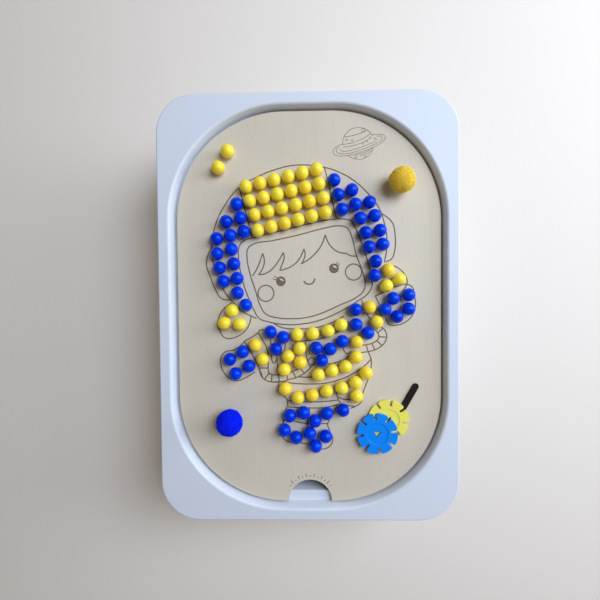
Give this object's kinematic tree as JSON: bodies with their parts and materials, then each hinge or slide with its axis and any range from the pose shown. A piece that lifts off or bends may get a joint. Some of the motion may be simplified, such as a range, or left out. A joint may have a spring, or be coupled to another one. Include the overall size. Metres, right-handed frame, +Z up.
{
  "type": "bead picture tray",
  "caption": "Rounded white storage tray whose rim holds a plywood picture board with a finger notch, loose yellow and blue beads, pompoms, connector discs and a stick.",
  "frame": {"origin": "centre of the tray's base, on the surface it stands on", "axes": "+Z up; +Y along the tray's long side towards the top of the picture; +X to the picture's right"},
  "size_m": [0.28, 0.4, 0.1194],
  "materials": {
    "tray_plastic": "white satin moulded plastic",
    "board_plywood": "pale birch plywood, bare, laser-engraved lines",
    "bead_yellow": "satin yellow bead",
    "bead_blue": "glossy royal blue bead",
    "pompom_yellow": "fluffy yellow pompom",
    "pompom_blue": "fluffy blue pompom",
    "disc_yellow": "satin moulded plastic",
    "disc_blue": "satin moulded plastic",
    "stick_black": "matt black"
  },
  "bodies": {
    "tray": {"tray": "tray_plastic"},
    "picture_board": {"picture_board": "board_plywood"},
    "crown_row_1": {"crown_beads_row_1": "bead_yellow"},
    "crown_row_2": {"crown_beads_row_2": "bead_yellow"},
    "crown_row_3": {"crown_beads_row_3": "bead_yellow"},
    "crown_row_4": {"crown_beads_row_4": "bead_yellow"},
    "helmet_left": {"helmet_left_inner_beads": "bead_blue", "helmet_left_middle_beads": "bead_blue", "helmet_left_outer_beads": "bead_blue"},
    "helmet_right": {"helmet_right_inner_beads": "bead_blue", "helmet_right_middle_beads": "bead_blue", "helmet_right_outer_beads": "bead_blue"},
    "pigtail_left": {"pigtail_left_beads": "bead_yellow"},
    "pigtail_right": {"pigtail_right_beads": "bead_yellow"},
    "left_hand": {"left_glove_beads": "bead_blue", "left_cuff_beads": "bead_yellow"},
    "right_hand": {"right_glove_beads": "bead_blue", "right_cuff_beads": "bead_yellow"},
    "left_shoulder": {"left_shoulder_beads": "bead_blue"},
    "right_shoulder": {"right_shoulder_beads": "bead_blue"},
    "collar": {"collar_beads": "bead_yellow"},
    "vest": {"vest_beads": "bead_yellow"},
    "chest": {"chest_beads": "bead_blue"},
    "belt": {"belt_beads": "bead_yellow"},
    "skirt": {"skirt_hem_beads": "bead_yellow", "skirt_side_beads": "bead_yellow"},
    "ankles": {"ankle_beads": "bead_blue"},
    "boots": {"boot_beads": "bead_blue"},
    "loose_bead_1": {"loose_bead_1": "bead_yellow"},
    "loose_bead_2": {"loose_bead_2": "bead_yellow"},
    "yellow_pompom": {"yellow_pompom": "pompom_yellow"},
    "blue_pompom": {"blue_pompom": "pompom_blue"},
    "yellow_disc": {"yellow_disc": "disc_yellow"},
    "blue_disc": {"blue_disc": "disc_blue"},
    "stick": {"stick": "stick_black"}
  },
  "joints": [
    {"name": "board_lift", "type": "slide", "parent": "tray", "child": "picture_board", "axis": [0, 0, 1], "range_m": [0, 0.06]},
    {"name": "crown_row_1_lift", "type": "slide", "parent": "picture_board", "child": "crown_row_1", "axis": [0, 0, 1], "range_m": [0, 0.03]},
    {"name": "crown_row_2_lift", "type": "slide", "parent": "picture_board", "child": "crown_row_2", "axis": [0, 0, 1], "range_m": [0, 0.03]},
    {"name": "crown_row_3_lift", "type": "slide", "parent": "picture_board", "child": "crown_row_3", "axis": [0, 0, 1], "range_m": [0, 0.03]},
    {"name": "crown_row_4_lift", "type": "slide", "parent": "picture_board", "child": "crown_row_4", "axis": [0, 0, 1], "range_m": [0, 0.03]},
    {"name": "helmet_left_lift", "type": "slide", "parent": "picture_board", "child": "helmet_left", "axis": [0, 0, 1], "range_m": [0, 0.03]},
    {"name": "helmet_right_lift", "type": "slide", "parent": "picture_board", "child": "helmet_right", "axis": [0, 0, 1], "range_m": [0, 0.03]},
    {"name": "pigtail_left_lift", "type": "slide", "parent": "picture_board", "child": "pigtail_left", "axis": [0, 0, 1], "range_m": [0, 0.03]},
    {"name": "pigtail_right_lift", "type": "slide", "parent": "picture_board", "child": "pigtail_right", "axis": [0, 0, 1], "range_m": [0, 0.03]},
    {"name": "left_hand_lift", "type": "slide", "parent": "picture_board", "child": "left_hand", "axis": [0, 0, 1], "range_m": [0, 0.03]},
    {"name": "right_hand_lift", "type": "slide", "parent": "picture_board", "child": "right_hand", "axis": [0, 0, 1], "range_m": [0, 0.03]},
    {"name": "left_shoulder_lift", "type": "slide", "parent": "picture_board", "child": "left_shoulder", "axis": [0, 0, 1], "range_m": [0, 0.03]},
    {"name": "right_shoulder_lift", "type": "slide", "parent": "picture_board", "child": "right_shoulder", "axis": [0, 0, 1], "range_m": [0, 0.03]},
    {"name": "collar_lift", "type": "slide", "parent": "picture_board", "child": "collar", "axis": [0, 0, 1], "range_m": [0, 0.03]},
    {"name": "vest_lift", "type": "slide", "parent": "picture_board", "child": "vest", "axis": [0, 0, 1], "range_m": [0, 0.03]},
    {"name": "chest_lift", "type": "slide", "parent": "picture_board", "child": "chest", "axis": [0, 0, 1], "range_m": [0, 0.03]},
    {"name": "belt_lift", "type": "slide", "parent": "picture_board", "child": "belt", "axis": [0, 0, 1], "range_m": [0, 0.03]},
    {"name": "skirt_lift", "type": "slide", "parent": "picture_board", "child": "skirt", "axis": [0, 0, 1], "range_m": [0, 0.03]},
    {"name": "ankles_lift", "type": "slide", "parent": "picture_board", "child": "ankles", "axis": [0, 0, 1], "range_m": [0, 0.03]},
    {"name": "boots_lift", "type": "slide", "parent": "picture_board", "child": "boots", "axis": [0, 0, 1], "range_m": [0, 0.03]},
    {"name": "loose_bead_1_lift", "type": "slide", "parent": "picture_board", "child": "loose_bead_1", "axis": [0, 0, 1], "range_m": [0, 0.03]},
    {"name": "loose_bead_2_lift", "type": "slide", "parent": "picture_board", "child": "loose_bead_2", "axis": [0, 0, 1], "range_m": [0, 0.03]},
    {"name": "yellow_pompom_lift", "type": "slide", "parent": "picture_board", "child": "yellow_pompom", "axis": [0, 0, 1], "range_m": [0, 0.03]},
    {"name": "blue_pompom_lift", "type": "slide", "parent": "picture_board", "child": "blue_pompom", "axis": [0, 0, 1], "range_m": [0, 0.03]},
    {"name": "yellow_disc_lift", "type": "slide", "parent": "picture_board", "child": "yellow_disc", "axis": [0, 0, 1], "range_m": [0, 0.03]},
    {"name": "blue_disc_lift", "type": "slide", "parent": "yellow_disc", "child": "blue_disc", "axis": [0, 0, 1], "range_m": [0, 0.03]},
    {"name": "stick_pull", "type": "slide", "parent": "picture_board", "child": "stick", "axis": [0.5, 0.866, 0], "range_m": [0, 0.03]}
  ]
}
